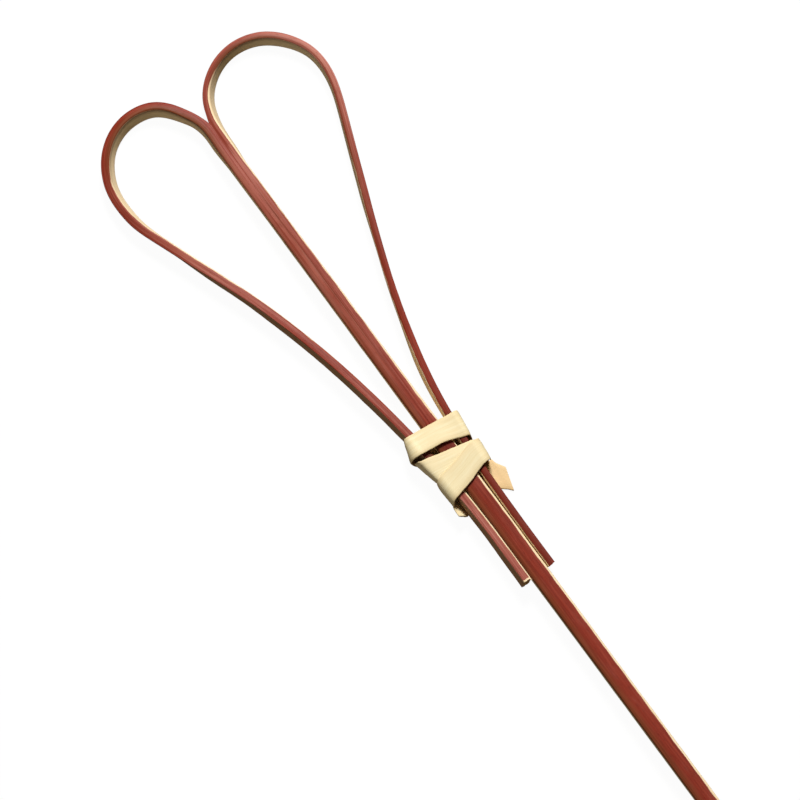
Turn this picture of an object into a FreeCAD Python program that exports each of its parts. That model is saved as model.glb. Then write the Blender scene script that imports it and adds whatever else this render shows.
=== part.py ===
"""Knotted heart pick: one bamboo splint, split, looped into a heart and tied with a bamboo ribbon.

The pick lies on its back.  +Y runs from the sharpened point to the heart, +X is to the right when
the loops are up, and +Z is the outward side of the stained skin.  While the solids are made, y is
the distance from the point, x = 0 is the middle of the stem and z = 0 is the skin.  At the end
everything is moved so that the origin is under the middle of the whole pick.
"""
import FreeCAD, Part
import math
import os

Vec = FreeCAD.Vector

# ------------------------------------------------------------- driving dimensions, mm and degrees
SPLINT_DEPTH = 1.65         # from the stained skin to the back of the splint
ARRIS = 0.16                # chamfer along the two long edges of the skin
SPLIT_ARRIS = 0.04          # the same along an edge that the split left
SPLIT_ROOT = 102.0          # distance from the point to where the split ends
STRIP_END = 57.2            # distance from the point to where both strips are cut off

LEFT_WIDTH = 0.90           # the two halves of the splint, side by side
RIGHT_WIDTH = 0.76
SEAM_X = 0.08               # where the halves meet, right of the middle of the stem
SPLIT_MIDDLE = SEAM_X + (RIGHT_WIDTH - LEFT_WIDTH) / 2

POINT_LENGTH = 13.0         # the stretch that is whittled to a point
POINT_TIP = 0.22            # width and depth left at the very end
# (distance from the point, width) of the stem, from the whittled stretch up to the split
STEM_WIDTHS = [
    (POINT_LENGTH, 1.86), (STRIP_END, 1.91), (66.0, 1.88), (84.0, 1.74),
    (SPLIT_ROOT, LEFT_WIDTH + RIGHT_WIDTH),
]

# the middle line of each strip's skin, (x, y), from the split over the loop to the tie and past it
LEFT_LINE = [
    (SEAM_X - LEFT_WIDTH / 2, SPLIT_ROOT), (-0.37, 106.0), (-0.36, 109.5), (-0.31, 112.2),
    (-0.27, 113.9), (-0.58, 115.4), (-1.16, 116.6), (-2.64, 118.71), (-5.88, 119.84),
    (-9.38, 118.51), (-11.10, 116.43), (-11.88, 114.3), (-12.02, 112.3), (-11.76, 110.2),
    (-11.12, 108.25), (-9.56, 104.2), (-7.98, 100.1), (-6.50, 96.0), (-5.28, 91.9),
    (-4.26, 87.8), (-3.42, 83.7), (-2.72, 79.6), (-1.98, 74.0), (-1.56, 69.0), (-1.39, 64.5),
    (-1.37, STRIP_END),
]
RIGHT_LINE = [
    (SEAM_X + RIGHT_WIDTH / 2, SPLIT_ROOT), (0.47, 106.0), (0.475, 109.5), (0.545, 112.2),
    (0.60, 113.9), (0.90, 115.4), (1.38, 116.5), (3.54, 118.62), (6.77, 119.49),
    (9.92, 118.56), (11.93, 116.52), (12.90, 114.45), (13.11, 112.42), (12.77, 110.27),
    (12.10, 108.22), (10.55, 104.2), (8.98, 100.1), (7.40, 96.0), (5.90, 91.9), (4.60, 87.8),
    (3.54, 83.7), (2.68, 79.6), (1.98, 74.0), (1.65, 69.0), (1.54, 64.5), (1.52, STRIP_END),
]
# how far each strip leans, (share of its length, degrees): more than 0 turns its inner side up
LEFT_LEAN = [
    (0.0, 0), (0.08, 1), (0.12, 7), (0.15, 9), (0.20, 19), (0.235, 24), (0.29, 17), (0.36, 19),
    (0.42, 10), (0.50, -2), (0.60, -10), (0.76, -12), (0.83, -7), (0.90, -11), (1.0, -14),
]
RIGHT_LEAN = [
    (0.0, 0), (0.06, 2), (0.11, 9), (0.15, 16), (0.22, 15), (0.28, 18), (0.34, 9),
    (0.40, 6), (0.51, 7), (0.59, 0), (0.65, 1), (0.73, 10), (0.83, 4), (1.0, 4),
]
# how far the skin of a bent strip lies behind the skin of the stem, (share of its length, mm): the
# tops of both loops reach as far back as the tie, so the pick lies on these three places
SET_BACK = [(0.0, 0.0), (0.22, 0.5), (0.34, 0.5), (0.74, 0.0), (1.0, 0.0)]
STRIP_STATIONS = 72         # sections along a strip
STRIP_PIECES = 12           # lengths that its long faces are cut into

# the tie: a flat ribbon round the stem and both strips, three turns across the front
RIBBON_WIDTH = 2.2
RIBBON_THICKNESS = 0.2
LAYER = 0.24                # how much further out the ribbon runs where it covers a turn below it
BUNDLE_HALF_WIDTH = 2.74    # from the middle of the stem to the middle of the ribbon's thickness
BUNDLE_HALF_WIDTH_AT = 71.0 # distance from the point where it has that half width
BUNDLE_FLARE = 0.065        # gain in half width for each millimetre towards the heart
RIBBON_CLEAR = 0.24         # from the splint's front and back to the middle of the thickness
CORNER_RADIUS = 0.62        # where the ribbon turns round the outer edge of a strip
# (quarter turns from the middle of the front, distance from the point, layer); the count goes
# leftward over the front, so 1 is the left side, 2 the back, 3 the right side and 4 the front again
RIBBON_ROUTE = [
    (-3.00, 66.9, 0), (-2.6, 67.4, 0), (-2.0, 68.6, 0), (-1.0, 70.85, 0), (0.0, 71.6, 0),
    (1.0, 72.35, 0), (2.0, 73.3, 0), (3.0, 74.1, 0), (4.0, 74.55, 0), (4.6, 74.85, 0),
    (5.0, 74.8, 1), (6.0, 73.0, 1), (7.0, 70.9, 1), (8.0, 70.1, 1), (9.0, 69.1, 1),
    (10.0, 68.45, 1), (10.6, 67.75, 1), (11.0, 67.0, 1),
]
TAIL_BACKS = (-2, 10)       # the middle of the back that each tail comes from, in quarter turns
RIBBON_STEPS = 12           # sections in each quarter turn of the ribbon
RIBBON_PIECES = 28          # lengths that its long faces are cut into


# ------------------------------------------------------------------------------- small helpers
def ease(table, at):
    """Value of a (position, value) table at a position, with soft steps between its rows."""
    for (low, first), (high, second) in zip(table, table[1:]):
        if at <= high:
            share = max(0.0, (at - low) / (high - low))
            share = share * share * (3 - 2 * share)
            return first + (second - first) * share
    return table[-1][1]


def spline(points, parameters=None):
    curve = Part.BSplineCurve()
    if parameters:
        curve.interpolate(Points=points, Parameters=parameters)
    else:
        curve.interpolate(points)
    return curve


def band(rail, other):
    """Face between two rails with the same knots, straight across from one to the other."""
    poles = [list(pair) for pair in zip(rail.getPoles(), other.getPoles())]
    surface = Part.BSplineSurface()
    surface.buildFromPolesMultsKnots(
        poles, rail.getMultiplicities(), [2, 2], rail.getKnots(), [0, 1],
        False, False, rail.Degree, 1)
    return surface.toShape()


def cut_rail(rail, low, high):
    piece = rail.copy()
    piece.segment(low, high)
    return piece


def flat_face(corners):
    return Part.Face(Part.makePolygon(corners + [corners[0]]))


def closed_solid(faces):
    shell = Part.makeShell(faces)
    shell.sewShape()
    solid = Part.makeSolid(shell)
    if solid.Volume < 0:
        solid.reverse()
    return solid


def skin_solid(sections, pieces):
    """Closed solid through a row of polygons that all have the same number of corners.

    Its long faces are cut into a number of pieces, which keeps each of them simple.
    """
    stations = [float(number) for number in range(len(sections))]
    cuts = [stations[-1] * number / pieces for number in range(pieces + 1)]
    rails = [spline(list(corners), stations) for corners in zip(*sections)]
    faces = []
    for low, high in zip(cuts, cuts[1:]):
        parts = [cut_rail(rail, low, high) for rail in rails]
        faces += [band(part, other) for part, other in zip(parts, parts[1:] + parts[:1])]
    return closed_solid(faces + [flat_face(sections[0]), flat_face(sections[-1])])


# ------------------------------------------------------------------------------------ the stem
def stem_section(y, width, depth=SPLINT_DEPTH, top=0.0, arris=ARRIS):
    """Corners of the stem's section across its length: skin up, both skin edges chamfered."""
    half = width / 2
    bottom = top - depth
    outline = [
        (-half, top - arris), (-half + arris, top), (half - arris, top), (half, top - arris),
        (half, bottom), (-half, bottom),
    ]
    middle = SPLIT_MIDDLE * max(0.0, (y - STRIP_END) / (SPLIT_ROOT - STRIP_END))
    corners = [Vec(middle + x, y, z) for x, z in outline]
    return corners


def make_stem():
    """Unsplit part of the splint, from the whittled point up to the end of the split.

    All its faces are flat, and the back is one face from the whittled stretch to the strips' ends.
    """
    tip_top = -(SPLINT_DEPTH - POINT_TIP) / 2
    sections = [stem_section(0.0, POINT_TIP, POINT_TIP, tip_top, POINT_TIP / 4)]
    sections += [stem_section(y, width) for y, width in STEM_WIDTHS]
    faces = [flat_face(sections[0]), flat_face(sections[-1])]
    for lower, upper in zip(sections, sections[1:]):
        for corner, start in enumerate(lower):
            after = (corner + 1) % len(lower)
            faces.append(flat_face([start, lower[after], upper[after], upper[corner]]))
    return closed_solid(faces)


# ---------------------------------------------------------------------------- the two strips
def make_strip(line, lean, width, inner):
    """Half of the splint, bent on its thin side into a loop.

    inner is +1 where the inside of the loop is on the left of the line, and -1 on the right.
    The inner side is an outer side of the splint, and the other one is the face of the split.
    """
    middle_line = spline([Vec(x, y, 0) for x, y in line])
    length = middle_line.length()
    start = middle_line.FirstParameter
    half = width / 2
    outline = [
        (-half, -SPLIT_ARRIS), (-half + SPLIT_ARRIS, 0), (half - ARRIS, 0), (half, -ARRIS),
        (half, -SPLINT_DEPTH), (-half, -SPLINT_DEPTH),
    ]
    sections = []
    for station in range(STRIP_STATIONS + 1):
        share = station / STRIP_STATIONS
        at = middle_line.parameterAtDistance(share * length, start)
        place = middle_line.value(at) - Vec(0, 0, ease(SET_BACK, share))
        along = Vec(*middle_line.tangent(at)[0])
        if station in (0, STRIP_STATIONS):
            along = Vec(0, 1 if station == 0 else -1, 0)
        across = Vec(-along.y * inner, along.x * inner, 0)
        angle = math.radians(ease(lean, share))
        side = across * math.cos(angle) + Vec(0, 0, math.sin(angle))
        up = Vec(0, 0, math.cos(angle)) - across * math.sin(angle)
        sections.append([place + side * a + up * b for a, b in outline])
    return skin_solid(sections, STRIP_PIECES)


# ------------------------------------------------------------------------------------- the tie
def ribbon_place(quarters, y, layer):
    """Middle of the ribbon's thickness (x, z) and outward direction, round the bundle."""
    radius = CORNER_RADIUS + layer * LAYER
    flat = BUNDLE_HALF_WIDTH + BUNDLE_FLARE * (y - BUNDLE_HALF_WIDTH_AT) - CORNER_RADIUS
    wall = SPLINT_DEPTH / 2 + RIBBON_CLEAR - CORNER_RADIUS
    arc = radius * math.pi / 2
    quarter = flat + arc + wall
    lowest, highest = RIBBON_ROUTE[0][0], RIBBON_ROUTE[-1][0]
    if quarters < lowest + 1 or quarters > highest - 1:
        # a tail: it runs straight on past the edge of the bundle, in the plane of the back
        nearest_back = TAIL_BACKS[0] if quarters < 0 else TAIL_BACKS[1]
        return (quarters - nearest_back) * quarter, -(wall + radius), Vec(0, 0, -1)
    turn = math.floor(quarters)
    run = (quarters - turn) * quarter
    backwards = turn % 2 == 1
    if backwards:
        run = quarter - run
    if run < flat:
        x, z, normal = -run, wall + radius, (0, 1)
    elif run < flat + arc:
        swing = (run - flat) / radius
        normal = (-math.sin(swing), math.cos(swing))
        x, z = -flat + radius * normal[0], wall + radius * normal[1]
    else:
        x, z, normal = -flat - radius, wall - (run - flat - arc), (-1, 0)
    # turn 0 is front to left, 1 left to back, 2 back to right and 3 right to front
    sign_x = 1 if turn % 4 in (0, 1) else -1
    sign_z = 1 if turn % 4 in (0, 3) else -1
    return x * sign_x, z * sign_z, Vec(normal[0] * sign_x, 0, normal[1] * sign_z)


def make_ribbon():
    """One strip of ribbon along its whole route, as a single solid that never meets itself."""
    first, last = RIBBON_ROUTE[0][0], RIBBON_ROUTE[-1][0]
    route = spline([Vec(row[1], 0, 0) for row in RIBBON_ROUTE], [row[0] for row in RIBBON_ROUTE])
    layers = [(row[0], row[2]) for row in RIBBON_ROUTE]
    count = round((last - first) * RIBBON_STEPS)
    places = []
    for station in range(count + 1):
        quarters = first + (last - first) * station / count
        y = route.value(quarters).x
        x, z, normal = ribbon_place(quarters, y, ease(layers, quarters))
        places.append((Vec(x, y, z - SPLINT_DEPTH / 2), normal))
    sections = []
    for station, (place, normal) in enumerate(places):
        before = places[max(station - 1, 0)][0]
        after = places[min(station + 1, count)][0]
        along = (after - before).normalize()
        level = math.sqrt(1 - along.y ** 2)
        edge = Vec(0, RIBBON_WIDTH / 2 / level, 0)
        face = normal * (RIBBON_THICKNESS / 2)
        sections.append([
            place - edge - face, place + edge - face, place + edge + face, place - edge + face,
        ])
    return skin_solid(sections, RIBBON_PIECES)


# ---------------------------------------------------------------------------------- the whole
def main():
    nodes = {
        "stem": make_stem(),
        "left_loop_strip": make_strip(LEFT_LINE, LEFT_LEAN, LEFT_WIDTH, 1),
        "right_loop_strip": make_strip(RIGHT_LINE, RIGHT_LEAN, RIGHT_WIDTH, -1),
        "tie_ribbon": make_ribbon(),
    }
    box = Part.makeCompound(list(nodes.values())).optimalBoundingBox(False)
    to_origin = Vec(-box.Center.x, -box.Center.y, -box.ZMin)
    os.makedirs("parts", exist_ok=True)
    for name, shape in nodes.items():
        shape.translate(to_origin)
        shape.exportStep(os.path.join("parts", name + ".step"))
        print(name, "valid", shape.isValid(), "mm3", round(shape.Volume, 3))
    print("size", round(box.XLength, 3), round(box.YLength, 3), round(box.ZLength, 3))
    print("moved by", [round(value, 3) for value in to_origin])


main()
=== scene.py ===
"""Looks of the knotted heart pick: stained bamboo splint, split and looped, tied with a ribbon.

Lengths in the tables are millimetres in the pick's own lines: y is the distance from the point,
x = 0 is the middle of the stem and z = 0 is the stained skin.  at() takes them to the frame.
"""
import bmesh
import bpy
import math
from collections import namedtuple
import numpy as np
from mathutils import Matrix, Vector


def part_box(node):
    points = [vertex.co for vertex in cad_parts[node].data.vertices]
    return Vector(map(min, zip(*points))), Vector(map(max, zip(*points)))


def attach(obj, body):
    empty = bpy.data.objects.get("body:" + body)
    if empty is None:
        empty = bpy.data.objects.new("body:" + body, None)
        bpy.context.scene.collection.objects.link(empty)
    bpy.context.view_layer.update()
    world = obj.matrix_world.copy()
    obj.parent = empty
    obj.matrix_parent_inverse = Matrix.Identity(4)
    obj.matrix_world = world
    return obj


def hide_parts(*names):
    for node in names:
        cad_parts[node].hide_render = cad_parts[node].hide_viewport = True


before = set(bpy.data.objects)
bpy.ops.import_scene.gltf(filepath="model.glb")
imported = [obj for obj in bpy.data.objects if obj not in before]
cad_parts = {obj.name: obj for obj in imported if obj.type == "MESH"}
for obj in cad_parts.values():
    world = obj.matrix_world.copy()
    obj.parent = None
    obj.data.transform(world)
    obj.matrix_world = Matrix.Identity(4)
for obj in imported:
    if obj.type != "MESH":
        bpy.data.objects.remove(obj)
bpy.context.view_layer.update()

# ------------------------------------------------------------------------- where the frame is
MM = 0.001
stem_low, stem_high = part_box("stem")
ORIGIN = np.array(((stem_low.x + stem_high.x) / 2, stem_low.y, stem_high.z))


def at(points):
    """Places in the pick's own lines, millimetres, as places in the frame, metres."""
    return ORIGIN + np.asarray(points, float) * MM


# ----------------------------------------------------------------------- the splint, millimetres
DEPTH = 1.65
SPLIT_ROOT = 102.0          # where the stem ends and the strips start
STRIP_END = 57.2
LEFT_WIDTH = 0.90
RIGHT_WIDTH = 0.76
SEAM_X = 0.08               # where the strips part at the root of the split
SPLIT_MIDDLE = SEAM_X + (RIGHT_WIDTH - LEFT_WIDTH) / 2
ARRIS = 0.16                # size of a rounded edge of the skin
STRIP_ARRIS = 1.15          # that of a strip, as a share of ARRIS
SPLIT_ARRIS = 0.06          # that of an edge made by the split, where the strips have parted
CLOSED_ARRIS = 0.012        # and before they part
BACK_ROUND = 0.10
SKIN_CROWN = 0.035          # how far the middle of the skin stands up
STRIP_CROWN = 0.6           # that of a strip, as a share of SKIN_CROWN
STEP = 0.25                 # distance between two rings of points along a strip
POINT_STEP = 0.125          # and along the point
STEM_RINGS = 357            # rings of points above the point
CALM_LENGTH = 2.0           # random roughness dies out this close to the root of the split
OPENING = 6.0               # length of the strips that is still much like the stem
ROOT_UMBER = 0.4            # how far the stain has turned to umber along the seam at the root

POINT_LENGTH = 13.0
STEM_WIDTHS = [
    (POINT_LENGTH, 1.86), (STRIP_END, 1.91), (66.0, 1.88), (84.0, 1.74),
    (SPLIT_ROOT, LEFT_WIDTH + RIGHT_WIDTH),
]
STEM_RIGHT_EXTRA = 0.05     # the stem is a little wider on the right of its middle
EXTRA_FADES = 8.0           # and loses this over the last of its length
STEM_LEFT_ARRIS = 1.3       # its left arris, as a share of ARRIS
STEM_ARRIS = [(78.0, 1.4), (90.0, 1.1)]     # its right one, (distance from the point, share)
# the knife cuts of the point, (distance from the point, how far out that side of the splint is)
POINT_LEFT = [(0.0, 0.11), (4.2, 0.40), (8.9, 0.68), (POINT_LENGTH, 0.93)]
POINT_RIGHT = [(0.0, 0.11), (3.1, 0.31), (7.7, 0.62), (12.2, 0.90), (POINT_LENGTH, 0.93)]
POINT_TOP = [(0.0, -0.715), (3.6, -0.52), (7.2, -0.27), (11.2, 0.0)]
POINT_BACK = [(0.0, -0.935), (5.2, -1.26), (9.8, -1.52), (12.6, -DEPTH)]
POINT_ARRIS = 0.3           # largest arris of the point, as a share of its half thickness
SKIN_DEPTH = 0.05           # a cut this deep has taken all of the stained skin

# the middle line of each strip's skin, from the split over the loop to the tie and past it
LEFT_LINE = [
    (SEAM_X - LEFT_WIDTH / 2, SPLIT_ROOT), (-0.37, 106.0), (-0.36, 109.5), (-0.31, 112.2),
    (-0.27, 113.9), (-0.58, 115.4), (-1.16, 116.6), (-2.64, 118.71), (-5.88, 119.84),
    (-9.38, 118.51), (-11.10, 116.43), (-11.88, 114.3), (-12.02, 112.3), (-11.76, 110.2),
    (-11.12, 108.25), (-9.56, 104.2), (-7.98, 100.1), (-6.50, 96.0), (-5.28, 91.9),
    (-4.26, 87.8), (-3.42, 83.7), (-2.72, 79.6), (-1.98, 74.0), (-1.56, 69.0), (-1.39, 64.5),
    (-1.37, STRIP_END),
]
RIGHT_LINE = [
    (SEAM_X + RIGHT_WIDTH / 2, SPLIT_ROOT), (0.47, 106.0), (0.475, 109.5), (0.545, 112.2),
    (0.60, 113.9), (0.90, 115.4), (1.38, 116.5), (3.54, 118.62), (6.77, 119.49),
    (9.92, 118.56), (11.93, 116.52), (12.90, 114.45), (13.11, 112.42), (12.77, 110.27),
    (12.10, 108.22), (10.55, 104.2), (8.98, 100.1), (7.40, 96.0), (5.90, 91.9), (4.60, 87.8),
    (3.54, 83.7), (2.68, 79.6), (1.98, 74.0), (1.65, 69.0), (1.54, 64.5), (1.52, STRIP_END),
]
# how far each strip leans, (share of its length, degrees): more than 0 turns its inner side up
LEFT_LEAN = [
    (0.0, 0), (0.08, 1), (0.12, 7), (0.15, 9), (0.20, 19), (0.235, 24), (0.29, 17), (0.36, 19),
    (0.42, 10), (0.50, -2), (0.60, -10), (0.76, -12), (0.83, -7), (0.90, -11), (1.0, -14),
]
RIGHT_LEAN = [
    (0.0, 0), (0.06, 2), (0.11, 9), (0.15, 16), (0.22, 15), (0.28, 18), (0.34, 9),
    (0.40, 6), (0.51, 7), (0.59, 0), (0.65, 1), (0.73, 10), (0.83, 4), (1.0, 4),
]
# how far each strip bulges towards the other where they touch, (distance along it, mm)
MEET = [(0.0, 0.0), (4.0, 0.02), (10.0, 0.07), (12.0, 0.10), (13.4, 0.0)]
# how far the strips have parted, (distance along a strip, 0 to 1)
PARTED = [(12.0, 0.15), (16.0, 1.0)]
# how far the skin of a bent strip lies behind the skin of the stem, (share of its length, mm)
SET_BACK = [(0.0, 0.0), (0.22, 0.5), (0.34, 0.5), (0.74, 0.0), (1.0, 0.0)]

# Wear and painted light, (distance along, amount), where the distance goes on from the stem into
# a strip.  The outer arris is the one that was an edge of the splint before it was split.
# TONE: above 0 how pale the stain is, partly faded stain and partly painted sheen where the skin
# turns towards the key light; below 0 how much darker it is, painted shade in the gap between the
# ribbon's turns under the tie (about 71 to 76 on the stem, 171.5 to 178.5 on the strips), and a
# darker low end of the right strip
STEM_TONE = [
    (0.0, 0.0), (66.0, 0.0), (71.0, 0.0), (72.5, -0.6), (75.0, -0.6), (76.2, 0.1),
    (90.0, 0.33), (SPLIT_ROOT, 0.42),
]
LEFT_TONE = [
    (SPLIT_ROOT, 0.42), (112.0, 0.42), (118.0, 0.0), (126.0, 0.05), (131.0, 0.22), (137.0, 0.36),
    (144.0, 0.48), (151.0, 0.42), (157.0, 0.12), (163.0, 0.2), (171.5, 0.40), (172.5, -0.8),
    (176.5, -0.8), (178.5, 0.55), (190.0, 0.62),
]
RIGHT_TONE = [
    (SPLIT_ROOT, 0.42), (108.0, 0.58), (114.0, 0.5), (120.0, 0.3), (126.0, 0.6), (133.0, 0.98),
    (140.0, 0.45), (150.0, 0.12), (163.0, 0.0), (171.5, -0.2), (172.5, -0.8), (176.5, -0.8),
    (178.5, -0.45),
]
# UMBER: how far the stain has turned to umber at the outer arris, on the stem the left one, and
# STEM_SEAM: the same in the middle of the stem's skin
# LEFT_UMBER from 172.5 to 177 darkens the outer arris in the gap under the tie: painted shade
LEFT_UMBER = [
    (106.0, 0.35), (114.0, 0.8), (127.0, 0.8), (132.0, 0.0), (171.5, 0.0), (172.5, 0.9),
    (177.0, 0.9), (178.5, 0.0),
]
RIGHT_UMBER = [
    (117.0, 0.0), (121.0, 0.8), (126.0, 0.7), (130.0, 0.3), (137.0, 0.3), (143.0, 0.5),
    (156.0, 0.2), (165.0, 0.0),
]
STEM_UMBER = [(60.0, 0.75), (84.0, 0.6), (SPLIT_ROOT, 0.35)]
STEM_SEAM = [(78.0, 0.0), (90.0, 0.34), (SPLIT_ROOT, 0.30)]
# BARE: how much stain the outer arris has lost, on the stem the right one.  The low values of
# STEM_BARE from 72.5 to 75.5 and of LEFT_BARE from 172.5 to 177 keep that arris stained and dark
# in the gap under the tie: painted shade
STEM_LEFT_BARE = [(78.0, 0.15), (90.0, 0.3)]
STEM_BARE = [(70.0, 1.0), (72.5, 0.4), (75.5, 0.4), (77.0, 0.9), (90.0, 0.6), (SPLIT_ROOT, 0.5)]
LEFT_BARE = [
    (SPLIT_ROOT, 0.15), (126.0, 0.1), (131.0, 0.4), (137.0, 0.3), (144.0, 0.6), (152.0, 0.5),
    (166.0, 0.2), (171.5, 0.1), (172.5, 0.0), (177.0, 0.0), (178.5, 0.9),
]
RIGHT_BARE = [
    (SPLIT_ROOT, 0.4), (108.0, 0.5), (113.0, 0.9), (118.0, 0.8), (121.0, 0.1), (138.0, 0.1),
    (146.0, 0.35),
]

# ----------------------------------------------------------------------- the ribbon, millimetres
RIBBON_THICKNESS = 0.2
EDGE_THINNING = 0.55        # share of the thickness that is gone at the ribbon's edges
BUNDLE_HALF_WIDTH = 2.74    # half the width that the ribbon goes round,
BUNDLE_HALF_WIDTH_AT = 71.0     # at this distance from the point,
BUNDLE_FLARE = 0.065        # and how much it grows for a millimetre further up
RIBBON_CLEAR = 0.24         # from the splint's skin or back to the middle of the ribbon
CORNER_RADIUS = 0.62
TAIL_BACKS = (-2, 10)       # the quarter turns beyond which the tails run straight on
SHARP_TURN = 0              # the quarter that folds sharply over the left edge
SHARP_FOLD = 0.55           # and how sharply: 1 is a round fold and less is sharper
# Each row is one place along the ribbon, first its lower and then its upper edge: quarter turns
# from the middle of the front (leftward over the front), distance from the point, and how far it
# stands off the bundle.  1 is the left side, 2 the back, 3 the right side and 4 the front again.
RIBBON_ROUTE = [
    ((-2.735, 66.36, -0.65), (-2.945, 66.72, -1.35)),
    ((-2.715, 66.35, -0.45), (-2.91, 67.72, -1.30)),
    ((-2.68, 66.42, -0.15), (-2.84, 68.02, -0.95)),
    ((-2.61, 66.50, 0.0), (-2.70, 68.40, -0.25)),
    ((-2.50, 66.60, 0.0), (-2.50, 68.80, 0.0)),
    ((-2.00, 67.50, 0.0), (-2.00, 69.70, 0.0)),
    ((-1.00, 69.80, 0.0), (-1.00, 72.00, -0.20)),
    ((-0.55, 70.00, 0.0), (-0.55, 72.30, -0.12)),
    ((0.00, 70.20, 0.0), (0.00, 72.70, 0.0)),
    ((0.55, 70.40, 0.0), (0.55, 73.20, 0.12)),
    ((0.90, 70.55, 0.0), (0.90, 73.60, 0.35)),
    ((1.05, 70.65, 0.02), (1.05, 73.80, 0.55)),
    ((1.25, 70.90, 0.0), (1.25, 73.92, 0.25)),
    ((1.45, 71.20, 0.0), (1.45, 74.00, 0.0)),
    ((2.00, 72.00, 0.0), (2.00, 74.40, 0.0)),
    ((3.00, 72.60, -0.20), (3.00, 75.50, 0.0)),
    ((3.45, 72.95, -0.12), (3.45, 75.65, 0.0)),
    ((4.00, 73.55, 0.14), (4.00, 75.90, 0.0)),
    ((4.50, 73.80, 0.21), (4.50, 76.12, 0.0)),
    ((4.80, 73.95, 0.60), (4.76, 76.20, 0.0)),
    ((5.00, 73.95, 0.85), (4.96, 75.80, 0.03)),
    ((5.22, 73.50, 0.55), (5.22, 75.25, 0.12)),
    ((5.50, 72.95, 0.21), (5.50, 74.75, 0.21)),
    ((6.00, 71.90, 0.21), (6.00, 74.10, 0.21)),
    ((6.50, 70.75, 0.21), (6.50, 73.05, 0.21)),
    ((7.00, 69.60, 0.24), (7.00, 72.00, 0.30)),
    ((7.45, 69.40, 0.10), (7.45, 71.95, 0.24)),
    ((8.00, 68.75, 0.06), (8.00, 71.35, 0.24)),
    ((8.55, 68.25, 0.12), (8.55, 70.95, 0.20)),
    ((9.00, 67.80, 0.28), (9.00, 70.45, 0.24)),
    ((9.50, 67.55, 0.21), (9.50, 70.15, 0.21)),
    ((10.0, 67.30, 0.21), (10.0, 69.85, 0.21)),
    ((10.5, 66.95, 0.21), (10.5, 69.85, 0.21)),
    ((10.7, 66.45, 0.21), (10.7, 69.85, 0.20)),
    ((10.84, 65.95, 0.18), (10.82, 69.83, 0.18)),
    ((10.86, 65.92, 0.18), (10.85, 69.40, 0.18)),
    ((10.87, 65.90, 0.18), (11.03, 68.35, 0.18)),
]
SHORTEST_STAGE = 0.08       # least distance in quarter turns between two rows of the route
RIBBON_STATIONS = 620
RIBBON_ACROSS = 16
RIBBON_GRAIN_WIDTH = 2.3    # width of the ribbon for its fibres
LEFT_TAIL_PALE = 4.0        # the inner side is not tan at the left tail, over this length and it takes a painted shade between the tails, further in than this, after this length
UNSHADED_TAIL_LENGTH = 5.0             # and it lies in the dark between the tails, further in than this,
PAINTED_SHADE_RAMP = 2.0         # after this length


# ---------------------------------------------------------------------------- curves and noise
def ease(table, where):
    """Value of a (position, value) table at a position, with soft steps between its rows."""
    for (low, first), (high, second) in zip(table, table[1:]):
        if where <= high:
            share = max(0.0, (where - low) / (high - low))
            share = share * share * (3 - 2 * share)
            return first + (second - first) * share
    return table[-1][1]


def straight(table, where):
    """Value of a (position, value) table at a position, straight between its rows."""
    positions, values = zip(*table)
    return float(np.interp(where, positions, values))


def cubic(points, samples=6000):
    """Natural cubic spline through points, by chord length, sampled finely."""
    points = np.array(points, float)
    steps = np.linalg.norm(np.diff(points, axis=0), axis=1)
    knots = np.concatenate([[0.0], np.cumsum(steps)])
    count = len(points)
    matrix = np.eye(count)
    right = np.zeros_like(points)
    for i in range(1, count - 1):
        before, after = steps[i - 1], steps[i]
        matrix[i, i - 1:i + 2] = before, 2 * (before + after), after
        right[i] = 6 * ((points[i + 1] - points[i]) / after - (points[i] - points[i - 1]) / before)
    bend = np.linalg.solve(matrix, right)
    t = np.linspace(0, knots[-1], samples)
    i = np.clip(np.searchsorted(knots, t, side="right") - 1, 0, count - 2)
    h = steps[i][:, None]
    a = (knots[i + 1] - t)[:, None] / h
    b = 1 - a
    curve = a * points[i] + b * points[i + 1]
    return curve + ((a ** 3 - a) * bend[i] + (b ** 3 - b) * bend[i + 1]) * h * h / 6


def even_stations(curve, step):
    """Places, directions and distances at even steps along a finely sampled curve."""
    run = np.concatenate([[0.0], np.cumsum(np.linalg.norm(np.diff(curve, axis=0), axis=1))])
    stops = np.linspace(0, run[-1], int(round(run[-1] / step)) + 1)
    places = np.stack([np.interp(stops, run, curve[:, k]) for k in range(curve.shape[1])], 1)
    along = np.gradient(places, axis=0)
    along /= np.linalg.norm(along, axis=1)[:, None]
    return places, along, stops


def gentle(knots, values, where):
    """Curve through (knot, value) rows that never swings past the values on each side."""
    knots, values, where = (np.asarray(x, float) for x in (knots, values, where))
    gaps = np.diff(knots)
    slopes = np.diff(values) / gaps
    tangents = np.zeros(len(knots))
    tangents[0], tangents[-1] = slopes[0], slopes[-1]
    same = slopes[:-1] * slopes[1:] > 0
    product = 2 * slopes[:-1] * slopes[1:]
    total = np.where(same, slopes[:-1] + slopes[1:], 1.0)
    tangents[1:-1] = np.where(same, product / total, 0.0)
    i = np.clip(np.searchsorted(knots, where, side="right") - 1, 0, len(gaps) - 1)
    h = gaps[i]
    t = (where - knots[i]) / h
    return (
        values[i] * (1 + 2 * t) * (1 - t) ** 2 + tangents[i] * h * t * (1 - t) ** 2
        + values[i + 1] * t * t * (3 - 2 * t) + tangents[i + 1] * h * t * t * (t - 1))


NOISE_TABLE = 8192          # random values in a row before they repeat


def wander(where, spacing, seed):
    """Smooth random value, about -1 to 1, that changes over the given spacing."""
    values = np.random.RandomState(seed).uniform(-1, 1, NOISE_TABLE)
    where = np.asarray(where, float) / spacing
    cell = np.floor(where).astype(int)
    share = where - cell
    share = share * share * (3 - 2 * share)
    return values[cell % NOISE_TABLE] * (1 - share) + values[(cell + 1) % NOISE_TABLE] * share


# --------------------------------------------------------------------------- mesh building
CAP_GRAIN_AT = 30.0         # texture place of the ends, away from that of the sides


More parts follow.
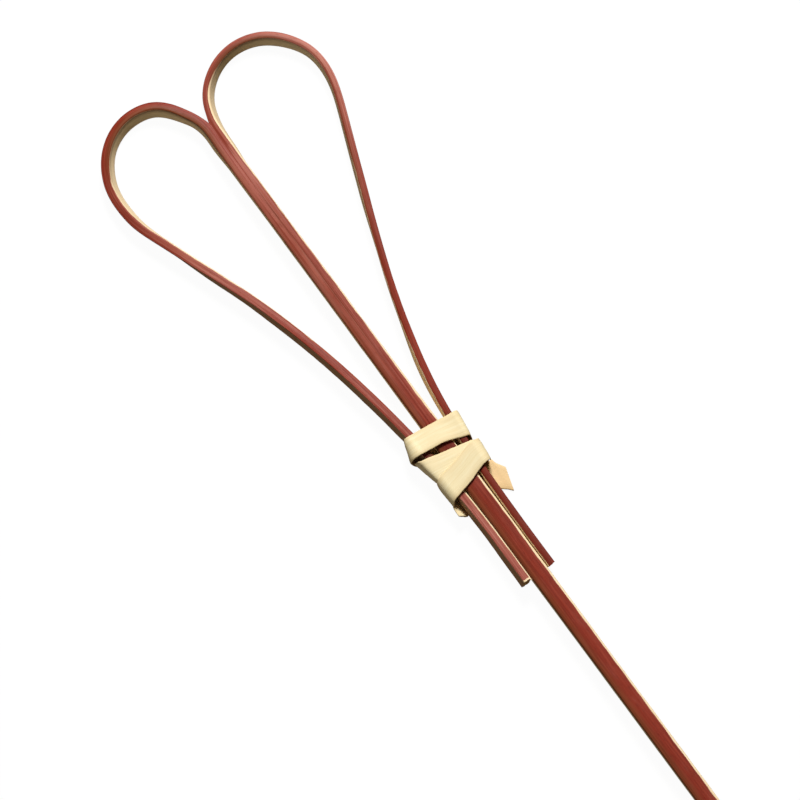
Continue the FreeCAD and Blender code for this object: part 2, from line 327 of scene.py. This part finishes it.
def ring_piece(name, rings, across, across_next, along, marks, caps):
    """Closed smooth mesh through rings of points, with a cap of inner rings at each end.

    rings is stations x corners x 3 in the pick's millimetres.  across and across_next are the
    texture places of each face's two corners, and along that of each ring.  marks are the values
    per point that the material reads, and caps the inner rings of both ends, down to one point.
    """
    stations, corners, _ = rings.shape
    points = list(rings.reshape(-1, 3))
    values = {key: list(mark.reshape(-1)) for key, mark in marks.items()}
    faces = []
    places = []
    for s in range(stations - 1):
        for c in range(corners):
            n = (c + 1) % corners
            row, above = s * corners, (s + 1) * corners
            faces.append((row + c, row + n, above + n, above + c))
            places += [
                (across[s, c], along[s]), (across_next[s, c], along[s]),
                (across_next[s + 1, c], along[s + 1]), (across[s + 1, c], along[s + 1])]
    rims = []
    for base, inner in ((0, caps[0]), ((stations - 1) * corners, caps[1])):
        outer = list(range(base, base + corners))
        rims += [(outer[c], outer[(c + 1) % corners]) for c in range(corners)]
        for level in inner:
            first = len(points)
            points += list(level)
            for key in values:
                values[key] += [1.0 if key == "end" else 0.0] * len(level)
            new = list(range(first, first + len(level)))
            for c in range(corners):
                n = (c + 1) % corners
                rim = [outer[c], outer[n]] + ([new[0]] if len(new) == 1 else [new[n], new[c]])
                rim = rim if base else rim[::-1]
                faces.append(tuple(rim))
                places += [(points[v][0] + CAP_GRAIN_AT, points[v][2]) for v in rim]
            outer = new
    mesh = bpy.data.meshes.new(name)
    mesh.from_pydata([tuple(p) for p in at(points)], [], faces)
    layer = mesh.uv_layers.new(name="grain")
    layer.data.foreach_set("uv", np.array(places, np.float32).reshape(-1))
    for key, value in values.items():
        mesh.attributes.new(key, "FLOAT", "POINT").data.foreach_set(
            "value", np.array(value, np.float32))
    mesh.polygons.foreach_set("use_smooth", [True] * len(mesh.polygons))
    lookup = {tuple(sorted(edge.vertices)): edge for edge in mesh.edges}
    for a, b in rims:
        lookup[tuple(sorted((a, b)))].use_edge_sharp = True
    shape = bmesh.new()
    shape.from_mesh(mesh)
    bmesh.ops.recalc_face_normals(shape, faces=shape.faces)
    shape.to_mesh(mesh)
    shape.free()
    piece = bpy.data.objects.new(name, mesh)
    bpy.context.scene.collection.objects.link(piece)
    return piece


# outline of a splint across its length: points on the skin, an arris, a side and so on round
OUTLINE_COUNTS = (12, 4, 11, 3, 8, 3, 11, 4)
(SKIN, LAST_ARRIS, LAST_SIDE, LAST_BACK_EDGE,
 BACK, FIRST_BACK_EDGE, FIRST_SIDE, FIRST_ARRIS) = range(8)
PART_OF_CORNER = np.repeat(range(8), OUTLINE_COUNTS)
CORNERS = sum(OUTLINE_COUNTS)
EDGE_BULGE = 0.22           # how round an arris or a back edge is, as a share of its size


def splint_outline(first_edge, last_edge, top, low, first_arris, last_arris, round_off, crown):
    """Points (across, up) round a splint, starting at its first skin edge."""
    stops = np.array([
        (first_edge + first_arris, top), (last_edge - last_arris, top),
        (last_edge, top - last_arris), (last_edge, low + round_off),
        (last_edge - round_off, low), (first_edge + round_off, low),
        (first_edge, low + round_off), (first_edge, top - first_arris),
    ])
    bulges = (crown, EDGE_BULGE * last_arris, 0, EDGE_BULGE * round_off,
              0, EDGE_BULGE * round_off, 0, EDGE_BULGE * first_arris)
    points = []
    for number, (count, bulge) in enumerate(zip(OUTLINE_COUNTS, bulges)):
        start, end = stops[number], stops[(number + 1) % 8]
        share = (np.arange(count) / count)[:, None]
        way = end - start
        out = np.array([-way[1], way[0]]) / max(np.hypot(*way), 1e-9)
        points.append(start + way * share + out * bulge * 4 * share * (1 - share))
    return np.concatenate(points)


def around(outline):
    """Texture place of each outline point: distance round from the middle of the skin.

    It counts up over the last side and down over the first, and they meet behind the back.
    """
    step = np.linalg.norm(np.roll(outline, -1, 0) - outline, axis=1)
    run = np.concatenate([[0.0], np.cumsum(step)[:-1]]) + outline[0, 0]
    wrap = np.argmax(PART_OF_CORNER == BACK) + OUTLINE_COUNTS[BACK] // 2
    run[wrap:] -= step.sum()
    following = run + step
    return run, following


# how far each part of the outline is uneven, in millimetres
ROUGHNESS = {SKIN: 0.003, LAST_SIDE: 0.012, BACK: 0.014, FIRST_SIDE: 0.012}
EDGE_ROUGHNESS = 0.004
SPLIT_ROUGHER = 1.8         # a split side is so much rougher than a sawn one
CUT_ROUGHNESS = 0.02
CUT_REACH = 2.5             # how far from a cut end its shape is still felt
CAP_SHARES = (0.93, 0.78, 0.6, 0.4, 0.2, 0.0)       # sizes of the inner rings of an end

# One place along a splint: the middle of its skin, its side and up directions, its outline, its
# distance along, the share of the skin that is stained and its tone: above 0 pale stain, partly
# faded and partly painted sheen, and below 0 darker stain, mostly painted shade.  bare is how
# bare the first and the last arris are, and turned how far the stain has turned to umber at the
# first arris, in the middle of the skin and at the last arris.
Station = namedtuple("Station", "place side up outline along stained fade bare turned")


def splint_piece(name, stations, cut_ends, seed, first_is_split, grain=(1, 0.0)):
    """Piece of splint through stations.

    cut_ends are two functions that say how far a cut end reaches past its station at a place
    across, or None for an end that meets wood.  grain is the sign and the shift that put the
    texture of a strip where it is on the stem.
    """
    along = np.array([station.along for station in stations])
    count = len(stations)
    rings = np.empty((count, CORNERS, 3))
    across = np.empty((count, CORNERS))
    across_next = np.empty((count, CORNERS))
    skin = np.zeros((count, CORNERS))
    fade_sheen_shade = np.zeros((count, CORNERS))
    umber = np.zeros((count, CORNERS))
    on_skin = PART_OF_CORNER == SKIN
    on_last_arris, on_first_arris = PART_OF_CORNER == LAST_ARRIS, PART_OF_CORNER == FIRST_ARRIS
    from_skin = np.arange(1, OUTLINE_COUNTS[LAST_ARRIS] + 1) / (OUTLINE_COUNTS[LAST_ARRIS] + 1)
    over_skin = np.arange(OUTLINE_COUNTS[SKIN]) / OUTLINE_COUNTS[SKIN]
    down_side = np.arange(OUTLINE_COUNTS[LAST_SIDE]) / OUTLINE_COUNTS[LAST_SIDE]
    # the umber fades out over the skin and down the sides, and its middle band is narrow
    umber_last = np.zeros(CORNERS)
    umber_last[on_skin] = np.clip(over_skin * 1.6 - 0.6, 0, 1)
    umber_last[on_last_arris] = 1.0
    umber_last[PART_OF_CORNER == LAST_SIDE] = np.clip(1 - down_side * 2.5, 0, 1)
    umber_middle = np.zeros(CORNERS)
    umber_middle[on_skin] = np.clip(1.3 - np.abs(over_skin - 0.54) * 8, 0, 1)
    umber_first = np.zeros(CORNERS)
    umber_first[on_skin] = np.clip(0.95 - over_skin * 2.4, 0, 1)
    umber_first[on_first_arris] = 1.0
    umber_first[PART_OF_CORNER == FIRST_SIDE] = np.clip(down_side * 2.5 - 1.5, 0, 1)
    calm = np.clip(np.abs(along - SPLIT_ROOT) / CALM_LENGTH, 0, 1)
    relief = np.zeros((count, CORNERS))
    for c in range(CORNERS):
        amount = ROUGHNESS.get(PART_OF_CORNER[c], EDGE_ROUGHNESS)
        if first_is_split and PART_OF_CORNER[c] in (FIRST_SIDE, FIRST_ARRIS):
            amount *= SPLIT_ROUGHER
        relief[:, c] = amount * calm * (
            wander(along, 2.3, seed + c) + 0.5 * wander(along, 0.7, seed + 100 + c))
    for s, here in enumerate(stations):
        out = here.outline - here.outline.mean(0)
        out /= np.linalg.norm(out, axis=1)[:, None]
        shaped = here.outline + out * relief[s][:, None]
        rings[s] = here.place + np.outer(shaped[:, 0], here.side) + np.outer(shaped[:, 1], here.up)
        across[s], across_next[s] = (grain[0] * run + grain[1] for run in around(here.outline))
        skin[s, on_skin] = here.stained
        skin[s, on_last_arris] = here.stained * (1 - here.bare[1] * from_skin)
        skin[s, on_first_arris] = here.stained * (1 - here.bare[0] * from_skin[::-1])
        fade_sheen_shade[s] = here.fade
        first, middle, last = here.turned
        umber[s] = here.stained * np.maximum.reduce(
            (umber_first * first, umber_middle * middle, umber_last * last))
    split = np.zeros((count, CORNERS))
    if first_is_split:
        split[:, np.isin(PART_OF_CORNER, (FIRST_SIDE, FIRST_BACK_EDGE))] = 1.0
    caps = []
    for number, cut in enumerate(cut_ends):
        index = 0 if number == 0 else count - 1
        place, side, up, outline = stations[index][:4]
        outward = np.cross(side, up)
        outward /= np.linalg.norm(outward)
        towards = rings[1 if number == 0 else count - 2].mean(0) - rings[index].mean(0)
        if np.dot(outward, towards) > 0:
            outward = -outward
        centre = outline.mean(0)
        levels = []
        for share in CAP_SHARES:
            level = centre + (outline - centre) * share
            level = level if share else level[:1]
            reach = np.zeros(len(level))
            if cut:
                reach = np.array([cut(a, b) for a, b in level])
                reach += CUT_ROUGHNESS * wander(
                    np.arange(len(level)) * 3.7, 1.0, seed + int(share * 90))
            levels.append(
                place + np.outer(level[:, 0], side) + np.outer(level[:, 1], up)
                + np.outer(reach, outward))
        caps.append(levels)
        if cut:
            reach = np.array([cut(a, b) for a, b in outline])
            for s in range(count):
                gone = abs(along[s] - along[index]) / CUT_REACH
                if gone < 1:
                    rings[s] += np.outer(reach * (1 - gone) ** 2, outward)
    return ring_piece(name, rings, across, across_next, along,
                      {"skin": skin, "fade_sheen_shade": fade_sheen_shade, "umber": umber, "split": split,
                       "end": np.zeros((count, CORNERS))}, caps)


# --------------------------------------------------------------------------------- the bamboo
X, Y, Z = np.eye(3)


def make_stem():
    """Whittled point and unsplit stretch of the splint."""
    stations = []
    for y in np.concatenate([np.arange(0, POINT_LENGTH, POINT_STEP),
                             np.linspace(POINT_LENGTH, SPLIT_ROOT, STEM_RINGS)]):
        middle = SPLIT_MIDDLE * max(0.0, (y - STRIP_END) / (SPLIT_ROOT - STRIP_END))
        half = straight(STEM_WIDTHS, max(y, POINT_LENGTH)) / 2
        first = half
        last = half + STEM_RIGHT_EXTRA * min(1.0, (SPLIT_ROOT - y) / EXTRA_FADES)
        top, low = 0.0, -DEPTH
        stained = 1.0
        calm = min(1.0, (SPLIT_ROOT - y) / CALM_LENGTH)
        arris = ARRIS * (ease(STEM_ARRIS, y) + 0.15 * wander(y, 5.1, 5) * calm)
        left_arris = ARRIS * (STEM_LEFT_ARRIS + 0.2 * wander(y, 4.3, 6) * calm)
        round_off, crown = BACK_ROUND, SKIN_CROWN
        if y < POINT_LENGTH:
            first, last = straight(POINT_LEFT, y), straight(POINT_RIGHT, y)
            top, low = straight(POINT_TOP, y), straight(POINT_BACK, y)
            small = min(first, last, (top - low) / 2)
            largest = small * POINT_ARRIS
            arris, left_arris = min(arris, largest), min(left_arris, largest)
            round_off = min(round_off, largest)
            crown *= small
            stained = float(np.clip(1 + top / SKIN_DEPTH, 0, 1))
        stations.append(Station(
            place=np.array((middle, y, 0.0)), side=X, up=Z, along=y, stained=stained,
            outline=splint_outline(-first, last, top, low, left_arris, arris, round_off, crown),
            fade=straight(STEM_TONE, y),
            bare=(straight(STEM_LEFT_BARE, y), straight(STEM_BARE, y)),
            turned=(straight(STEM_UMBER, y), straight(STEM_SEAM, y), 0.0)))
    return splint_piece("stem_bamboo", stations, (None, None), 11, False)


def make_strip(name, line, lean, fade, bare, umber, width, inner, cut, chipped, seed):
    """Half of the splint, bent on its thin side into a loop.

    inner is +1 where the inside of the loop is on the left of the line, and -1 on the right.
    The last chipped millimetres of the skin have lost their stain.
    """
    places, directions, stops = even_stations(cubic(line), STEP)
    directions[0] = (0, 1)
    directions[-1] = (0, -1)
    half = width / 2
    stations = []
    for (x, y), (run_x, run_y), stop in zip(places, directions, stops):
        share = stop / stops[-1]
        across = np.array((-run_y * inner, run_x * inner, 0.0))
        angle = math.radians(ease(lean, share))
        side = across * math.cos(angle) + Z * math.sin(angle)
        up = Z * math.cos(angle) - across * math.sin(angle)
        opened = min(1.0, stop / OPENING)
        arris = ARRIS * (STRIP_ARRIS + 0.15 * opened * wander(stop, 4.9, seed))
        split_arris = CLOSED_ARRIS + SPLIT_ARRIS * straight(PARTED, stop) * (
            1 + 0.4 * wander(stop, 1.9, seed + 1))
        outline = splint_outline(
            -half - ease(MEET, stop), half, 0.0, -DEPTH, split_arris, arris, BACK_ROUND,
            SKIN_CROWN * STRIP_CROWN)
        along = SPLIT_ROOT + stop
        stations.append(Station(
            place=np.array((x, y, -ease(SET_BACK, share))), side=side, up=up, outline=outline,
            along=along, stained=0.0 if stops[-1] - stop < chipped else 1.0,
            fade=straight(fade, along), bare=(0.0, straight(bare, along)),
            turned=(ROOT_UMBER * (1 - opened), 0.0, straight(umber, along))))
    # the grain goes on from the stem, so it is placed as on the stem's skin
    grain = (-inner, line[0][0] - SPLIT_MIDDLE)
    return splint_piece(name, stations, (None, cut), seed, True, grain)


# each says how far a strip's end reaches at a place across its width and up from its skin
def left_cut(a, b):
    """Broken cut: a splinter at the skin corner next to the stem, and fibres of uneven length."""
    splinter = 0.22 * math.exp(-((a - 0.38) / 0.09) ** 2 - ((b + 0.10) / 0.16) ** 2)
    return splinter + 0.03 * wander(a * 10, 1.3, 71) + 0.03 * wander(b * 9, 1.0, 72) + 0.03 * b


def right_cut(a, b):
    """Clean cut that leans under, a little askew."""
    return 0.10 + 0.12 * a + 0.24 * b + 0.03 * wander(a * 12, 1.0, 73)


stem = make_stem()
left_strip = make_strip("left_loop_bamboo", LEFT_LINE, LEFT_LEAN, LEFT_TONE, LEFT_BARE,
                        LEFT_UMBER, LEFT_WIDTH, 1, left_cut, 0.1, 21)
right_strip = make_strip("right_loop_bamboo", RIGHT_LINE, RIGHT_LEAN, RIGHT_TONE, RIGHT_BARE,
                         RIGHT_UMBER, RIGHT_WIDTH, -1, right_cut, 0.0, 31)


# --------------------------------------------------------------------------------- the ribbon
def ribbon_place(quarters, y, off):
    """Place round the bundle of a point on the ribbon that stands off it by so much."""
    radius = CORNER_RADIUS + off
    flat = BUNDLE_HALF_WIDTH + BUNDLE_FLARE * (y - BUNDLE_HALF_WIDTH_AT) - CORNER_RADIUS
    wall = DEPTH / 2 + RIBBON_CLEAR - CORNER_RADIUS
    arc = radius * math.pi / 2
    quarter = flat + arc + wall
    middle_z = -DEPTH / 2
    if quarters < TAIL_BACKS[0] or quarters > TAIL_BACKS[1]:
        nearest_back = TAIL_BACKS[0] if quarters < 0 else TAIL_BACKS[1]
        quarter = flat + max(radius, CORNER_RADIUS) * math.pi / 2 + wall
        return (quarters - nearest_back) * quarter, y, middle_z - wall - radius
    turn = math.floor(quarters)
    run = (quarters - turn) * quarter
    if turn % 2 == 1:
        run = quarter - run
    if run < flat:
        x, z = -run, wall + radius
    elif run < flat + arc:
        swing = (run - flat) / radius
        power = SHARP_FOLD if turn == SHARP_TURN else 1.0
        x = -flat - radius * math.sin(swing) ** power
        z = wall + radius * math.cos(swing) ** power
    else:
        x, z = -flat - radius, wall - (run - flat - arc)
    # turn 0 is front to left, 1 left to back, 2 back to right and 3 right to front
    sign_x = 1 if turn % 4 in (0, 1) else -1
    sign_z = 1 if turn % 4 in (0, 3) else -1
    return x * sign_x, y, middle_z + z * sign_z


def make_ribbon():
    """Shaved bamboo ribbon along its whole route."""
    rows = np.array(RIBBON_ROUTE)
    stage_at = np.concatenate([[0.0], np.cumsum(np.maximum(
        np.abs(np.diff(rows[:, :, 0], axis=0)).mean(1), SHORTEST_STAGE))])
    stops = np.linspace(0, stage_at[-1], RIBBON_STATIONS)
    edges = np.stack([[gentle(stage_at, rows[:, e, k], stops) for k in range(3)]
                      for e in range(2)])
    # the points across the ribbon stand closer together at its edges
    shares = 0.5 - 0.5 * np.cos(np.linspace(0, math.pi, RIBBON_ACROSS))
    shares = 0.5 * shares + 0.5 * np.linspace(0, 1, RIBBON_ACROSS)
    sheet = np.empty((RIBBON_STATIONS, RIBBON_ACROSS, 3))
    for s in range(RIBBON_STATIONS):
        for c, share in enumerate(shares):
            quarters, y, off = edges[0, :, s] * (1 - share) + edges[1, :, s] * share
            sheet[s, c] = ribbon_place(quarters, y, off)
    run = np.concatenate([[0.0], np.cumsum(
        np.linalg.norm(np.diff(sheet.mean(1), axis=0), axis=1))])
    edge_wear = 0.016 * (wander(run, 0.55, 81) + 0.6 * wander(run, 0.2, 82))
    other_wear = 0.016 * (wander(run, 0.6, 83) + 0.6 * wander(run, 0.22, 84))
    sheet[:, 0, 1] += edge_wear
    sheet[:, -1, 1] += other_wear
    lengthwise = np.gradient(sheet, axis=0)
    crosswise = np.gradient(sheet, axis=1)
    normal = np.cross(lengthwise, crosswise)
    normal /= np.maximum(np.linalg.norm(normal, axis=2), 1e-9)[:, :, None]
    # the outward side is the one away from the middle of the bundle at the front
    middle = RIBBON_STATIONS // 2
    if normal[middle, RIBBON_ACROSS // 2] @ (
            sheet[middle, RIBBON_ACROSS // 2] - (0, sheet[middle, 0, 1], -DEPTH / 2)) < 0:
        normal = -normal
    fibres = np.stack([
        0.010 * wander(run, 5.0, 200 + c) + 0.004 * wander(run, 1.2, 300 + c)
        for c in range(RIBBON_ACROSS)], 1)
    thin = 1 - EDGE_THINNING * np.abs(2 * shares - 1) ** 6
    half = (RIBBON_THICKNESS / 2 * thin)[None, :, None]
    outer = sheet + normal * (half + fibres[:, :, None])
    inner = sheet - normal * (half - 0.3 * fibres[:, :, None])
    rings = np.concatenate([outer, inner[:, ::-1]], 1)
    across = np.tile(
        np.concatenate([shares, 1 + shares]) * RIBBON_GRAIN_WIDTH, (RIBBON_STATIONS, 1))
    across_next = np.tile(np.concatenate([
        shares[1:], [1.0], 1 + shares[1:], [2.0]]) * RIBBON_GRAIN_WIDTH, (RIBBON_STATIONS, 1))
    rim = np.tile(np.concatenate([np.abs(2 * shares - 1) ** 3] * 2), (RIBBON_STATIONS, 1))
    back = np.concatenate([np.zeros_like(shares), np.ones_like(shares)])
    past_left_tail = np.clip(run / LEFT_TAIL_PALE, 0, 1)
    # painted shade: the inner side darkens between the tails, where the back of the tie is in shade
    from_tails = np.clip(
        (np.minimum(run, run[-1] - run) - UNSHADED_TAIL_LENGTH) / PAINTED_SHADE_RAMP, 0, 1)
    caps = [[rings[index].mean(0, keepdims=True)] for index in (0, RIBBON_STATIONS - 1)]
    return ring_piece("tie_ribbon_bamboo", rings, across, across_next, run, {
        "rim": rim, "inside": np.outer(past_left_tail, back), "painted_shade": np.outer(from_tails, back),
        "end": np.zeros((RIBBON_STATIONS, 2 * RIBBON_ACROSS))}, caps)


ribbon = make_ribbon()


# ------------------------------------------------------------------------------------ materials
def colour(red, green, blue):
    """Screen colour, 0 to 255, as the linear colour that a shader takes."""
    return tuple(((value / 255 + 0.055) / 1.055) ** 2.4 if value > 10 else value / 3295
                 for value in (red, green, blue)) + (1.0,)


class Graph:
    """Short way to write a material's nodes."""

    def __init__(self, name):
        self.material = bpy.data.materials.new(name)
        self.material.use_nodes = True
        self.tree = self.material.node_tree
        self.shader = self.tree.nodes["Principled BSDF"]
        place = self.node("ShaderNodeUVMap", uv_map="grain")
        split = self.node("ShaderNodeSeparateXYZ", place.outputs[0])
        self.across, self.along = split.outputs[0], split.outputs[1]

    def node(self, kind, *inputs, **settings):
        made = self.tree.nodes.new(kind)
        for key, value in settings.items():
            setattr(made, key, value)
        for socket, value in zip(made.inputs, inputs):
            self.feed(socket, value)
        return made

    def feed(self, socket, value):
        """Link a socket into this one, or set a plain value on it."""
        if isinstance(value, bpy.types.NodeSocket):
            self.tree.links.new(value, socket)
        elif value is not None:
            socket.default_value = value

    def maths(self, operation, *inputs, clamp=False):
        return self.node("ShaderNodeMath", *inputs, operation=operation, use_clamp=clamp).outputs[0]

    def noise(self, across, along, detail=2.0, shift=0.0):
        """Noise, 0 to 1, with so many cells for a millimetre across and along the grain."""
        vector = self.node(
            "ShaderNodeCombineXYZ", self.maths("MULTIPLY", self.across, across),
            self.maths("MULTIPLY", self.along, along), shift)
        made = self.node("ShaderNodeTexNoise", vector.outputs[0])
        made.inputs["Scale"].default_value = 1.0
        made.inputs["Detail"].default_value = detail
        return made.outputs[0]

    def mark(self, name):
        return self.node("ShaderNodeAttribute", attribute_name=name).outputs["Fac"]

    def between(self, value, low, high):
        """0 below low, 1 above high and a soft step between."""
        made = self.node("ShaderNodeMapRange", value, low, high, interpolation_type="SMOOTHSTEP")
        return made.outputs[0]

    def mix(self, factor, first, second, blend="MIX"):
        made = self.node("ShaderNodeMix", data_type="RGBA", blend_type=blend)
        self.feed(made.inputs[0], factor)
        self.feed(made.inputs[6], first)
        self.feed(made.inputs[7], second)
        return made.outputs[2]

    def finish(self, base, roughness, height, depth_mm, **plain):
        self.feed(self.shader.inputs["Base Color"], base)
        self.feed(self.shader.inputs["Roughness"], roughness)
        bump = self.node("ShaderNodeBump")
        bump.inputs["Strength"].default_value = 1.0
        bump.inputs["Distance"].default_value = depth_mm * MM
        self.feed(bump.inputs["Height"], height)
        self.feed(self.shader.inputs["Normal"], bump.outputs[0])
        for key, value in plain.items():
            self.shader.inputs[key.replace("_", " ")].default_value = value
        return self.material


def stained_bamboo():
    """Red stain on the skin, worn at the arrises, and natural wood on every other side, with
    painted sheen in the pale stain and painted shade in the gap under the tie.
    """
    g = Graph("stained_bamboo_look")
    fibre = g.noise(11.0, 0.16, 3.0)
    fine = g.noise(30.0, 0.9, 2.0, 4.0)
    streak = g.noise(2.6, 0.035, 2.0, 8.0)
    blotch = g.noise(1.3, 0.30, 3.0, 12.0)
    dash = g.between(g.noise(16.0, 1.1, 1.0, 16.0), 0.60, 0.70)

    deep = g.mix(g.between(streak, 0.30, 0.70), colour(114, 32, 16), colour(136, 44, 26))
    deep = g.mix(g.between(fibre, 0.35, 0.80), deep, colour(150, 58, 38))
    deep = g.mix(g.maths("MULTIPLY", dash, 0.45), deep, colour(88, 30, 16))
    # below 0 the tone darkens the stain: painted shade in the gap under the tie, and a darker low
    # end of the right strip
    painted_shade_and_darker = g.maths("MULTIPLY", g.mark("fade_sheen_shade"), -0.75, clamp=True)
    deep = g.mix(painted_shade_and_darker, deep, colour(66, 20, 10))
    # the pale stain is partly faded stain and partly painted sheen, where the skin turns towards
    # the key light
    pale = g.mix(g.between(streak, 0.38, 0.62), colour(164, 88, 76), colour(190, 120, 104))
    pale = g.mix(g.between(fibre, 0.35, 0.80), pale, colour(200, 132, 114))
    pale = g.mix(g.maths("MULTIPLY", dash, 0.55), pale, colour(132, 66, 44))
    dark_thread = g.between(g.noise(3.6, 0.06, 1.0, 24.0), 0.50, 0.62)
    pale = g.mix(g.maths("MULTIPLY", dark_thread, 0.8), pale, colour(128, 50, 38))
    light_thread = g.between(g.noise(4.2, 0.08, 1.0, 28.0), 0.54, 0.64)
    pale = g.mix(g.maths("MULTIPLY", light_thread, 0.7), pale, colour(216, 150, 136))
    patchy = g.maths("ADD", g.mark("fade_sheen_shade"), g.maths("MULTIPLY", g.maths(
        "SUBTRACT", blotch, 0.5), 0.5), clamp=True)
    red = g.mix(g.maths("MULTIPLY", patchy, 0.9), deep, pale)

    wood = g.mix(g.between(fibre, 0.3, 0.7), colour(240, 212, 168), colour(249, 230, 194))
    wood = g.mix(g.maths("MULTIPLY", g.between(fine, 0.5, 0.75), 0.2), wood, colour(205, 165, 108))
    wood = g.mix(g.maths("MULTIPLY", dash, 0.2), wood, colour(176, 126, 76))
    face = g.mix(g.between(fibre, 0.3, 0.7), colour(158, 120, 88), colour(188, 148, 112))
    face = g.mix(g.maths("MULTIPLY", dash, 0.7), face, colour(118, 76, 46))
    wood = g.mix(g.mark("split"), wood, face)
    spot = g.between(g.noise(9.0, 9.0, 1.0, 30.0), 0.52, 0.62)
    end = g.mix(spot, colour(214, 176, 120), colour(120, 84, 54))
    wood = g.mix(g.mark("end"), wood, end)

    worn = g.maths("SUBTRACT", g.mark("skin"), g.maths("MULTIPLY", g.maths(
        "SUBTRACT", g.noise(4.0, 0.5, 2.0, 20.0), 0.5), 0.35))
    stain = g.between(worn, 0.68, 0.84)
    base = g.mix(stain, wood, red)
    base = g.mix(g.maths("MULTIPLY", g.mark("umber"), 0.9), base, g.mix(
        g.between(fibre, 0.3, 0.7), colour(98, 56, 30), colour(122, 72, 42)))
    roughness = g.maths("ADD", g.maths("MULTIPLY", fibre, 0.18), g.maths(
        "SUBTRACT", 0.58, g.maths("MULTIPLY", stain, 0.22)))
    height = g.maths("ADD", fibre, g.maths("MULTIPLY", fine, 0.5))
    height = g.maths("SUBTRACT", height, g.maths("MULTIPLY", dash, 0.4))
    return g.finish(base, roughness, height, 0.008, Specular_IOR_Level=0.12)


def natural_ribbon():
    """Pale shaved bamboo with fine fibres, browner at its edges and tan on its inner side, with
    painted shade on that side between the tails.
    """
    g = Graph("natural_ribbon_look")
    fibre = g.noise(9.0, 0.22, 3.0)
    fine = g.noise(26.0, 0.8, 2.0, 4.0)
    cloud = g.noise(0.7, 0.35, 3.0, 8.0)
    base = g.mix(g.between(fibre, 0.25, 0.75), colour(240, 222, 173), colour(248, 235, 194))
    base = g.mix(g.maths("MULTIPLY", g.between(cloud, 0.4, 0.7), 0.5), base, colour(244, 222, 174))
    base = g.mix(g.maths("MULTIPLY", g.between(fine, 0.5, 0.8), 0.3), base, colour(230, 206, 150))
    base = g.mix(g.maths("MULTIPLY", g.mark("inside"), 0.85), base, colour(240, 203, 146))
    # painted shade on the inner side between the tails
    base = g.mix(g.maths("MULTIPLY", g.mark("painted_shade"), 0.8), base, colour(112, 78, 48))
    base = g.mix(g.maths("MULTIPLY", g.mark("rim"), 0.4), base, colour(218, 186, 128))
    roughness = g.maths("ADD", 0.50, g.maths("MULTIPLY", fibre, 0.2))
    height = g.maths("ADD", fibre, g.maths("MULTIPLY", fine, 0.5))
    return g.finish(base, roughness, height, 0.012)


bamboo_look = stained_bamboo()
ribbon_look = natural_ribbon()
for piece, node, slot, look in (
        (stem, "stem", "stained_bamboo", bamboo_look),
        (left_strip, "left_loop_strip", "stained_bamboo", bamboo_look),
        (right_strip, "right_loop_strip", "stained_bamboo", bamboo_look),
        (ribbon, "tie_ribbon", "natural_ribbon", ribbon_look)):
    piece.data.materials.append(look)
    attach(piece, "root")
    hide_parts(node)

# -------------------------------------------------------------------------------- floor and light
FLOOR_HALF = 6.0
floor_mesh = bpy.data.meshes.new("floor")
floor_mesh.from_pydata(
    [(-FLOOR_HALF, -FLOOR_HALF, 0), (FLOOR_HALF, -FLOOR_HALF, 0), (FLOOR_HALF, FLOOR_HALF, 0),
     (-FLOOR_HALF, FLOOR_HALF, 0)], [], [(0, 1, 2, 3)])
floor = bpy.data.objects.new("floor", floor_mesh)
bpy.context.scene.collection.objects.link(floor)
floor_look = bpy.data.materials.new("floor_look")
floor_look.use_nodes = True
floor_shader = floor_look.node_tree.nodes["Principled BSDF"]
floor_shader.inputs["Base Color"].default_value = (0.05, 0.05, 0.05, 1)
floor_shader.inputs["Roughness"].default_value = 1.0
floor_shader.inputs["Specular IOR Level"].default_value = 0.0
floor_shader.inputs["Emission Color"].default_value = (1, 1, 1, 1)
floor_shader.inputs["Emission Strength"].default_value = 0.96
floor_mesh.materials.append(floor_look)
floor.visible_diffuse = False
floor.visible_glossy = False

world = bpy.data.worlds.new("studio")
world.use_nodes = True
world.node_tree.nodes["Background"].inputs["Color"].default_value = (1.0, 0.82, 0.56, 1)
world.node_tree.nodes["Background"].inputs["Strength"].default_value = 0.12
bpy.context.scene.world = world
bpy.context.scene.view_settings.view_transform = "Standard"

LOOK_AT = (-0.94, 79.76, 0.0)           # millimetres: what is in the middle of the view
target = Vector(at(LOOK_AT))


def area_light(name, direction, distance, size, power):
    """Square soft light in a direction from the target, facing it."""
    light = bpy.data.lights.new(name, "AREA")
    light.size = size
    light.energy = power
    lamp = bpy.data.objects.new(name, light)
    bpy.context.scene.collection.objects.link(lamp)
    direction = Vector(direction).normalized()
    lamp.location = target + direction * distance
    lamp.rotation_mode = "QUATERNION"
    lamp.rotation_quaternion = direction.to_track_quat("Z", "Y")
    return lamp


area_light("key", (0.49, 0.55, 0.82), 0.6, 0.18, 4.5)
area_light("fill", (-0.80, -0.10, 0.30), 0.6, 0.30, 0.3)

# -------------------------------------------------------------------------------------- camera
CAMERA_DISTANCE = 2.5
SENSOR = 36.0
SEEN_WIDTH = 0.080                      # metres across the view at the target
ROLL = math.radians(36.49)              # how far the stem leans left of upright in the view
TO_CAMERA = Vector((-0.08, -0.208, 0.975)).normalized()
heart_way = Vector((0, 1, 0)) - TO_CAMERA * TO_CAMERA.y
heart_way.normalize()
side_way = heart_way.cross(TO_CAMERA)
right_way = side_way * math.cos(ROLL) - heart_way * math.sin(ROLL)
up_way = side_way * math.sin(ROLL) + heart_way * math.cos(ROLL)
camera_data = bpy.data.cameras.new("camera")
camera_data.sensor_width = SENSOR
camera_data.lens = SENSOR * CAMERA_DISTANCE / SEEN_WIDTH
camera = bpy.data.objects.new("camera", camera_data)
bpy.context.scene.collection.objects.link(camera)
camera.matrix_world = Matrix.Translation(target + TO_CAMERA * CAMERA_DISTANCE) @ Matrix(
    (right_way, up_way, TO_CAMERA)).transposed().to_4x4()
bpy.context.scene.camera = camera
